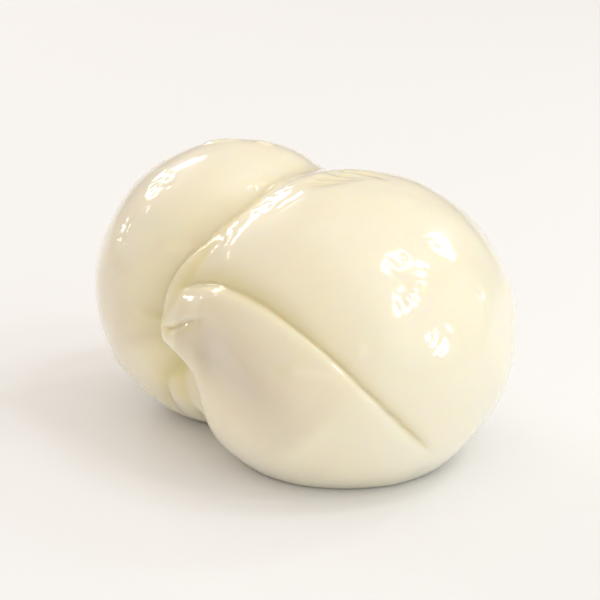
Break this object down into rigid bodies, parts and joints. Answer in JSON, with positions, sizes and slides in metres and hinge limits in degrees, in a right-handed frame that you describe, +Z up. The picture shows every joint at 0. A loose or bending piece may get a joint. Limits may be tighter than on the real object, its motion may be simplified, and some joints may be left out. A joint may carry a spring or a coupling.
{
  "type": "mozzarella ball",
  "caption": "Fresh mozzarella ball: a large front lobe and a smaller back lobe with a deep cleft between them, a folded flap with a diagonal crease, and a flat underside to rest on.",
  "frame": {"origin": "middle of the ball's outline from above, at the height of the surface that it rests on", "axes": "+Z up; -Y towards the front, where the folded flap and its crease are; +X to the right as seen from the front"},
  "size_m": [0.0888, 0.091, 0.0579],
  "materials": {
    "curd": "wet glossy cream-white stretched curd, slightly translucent, a little deeper and yellower in the folds"
  },
  "bodies": {
    "root": {"mozzarella_ball": "curd"}
  },
  "joints": []
}
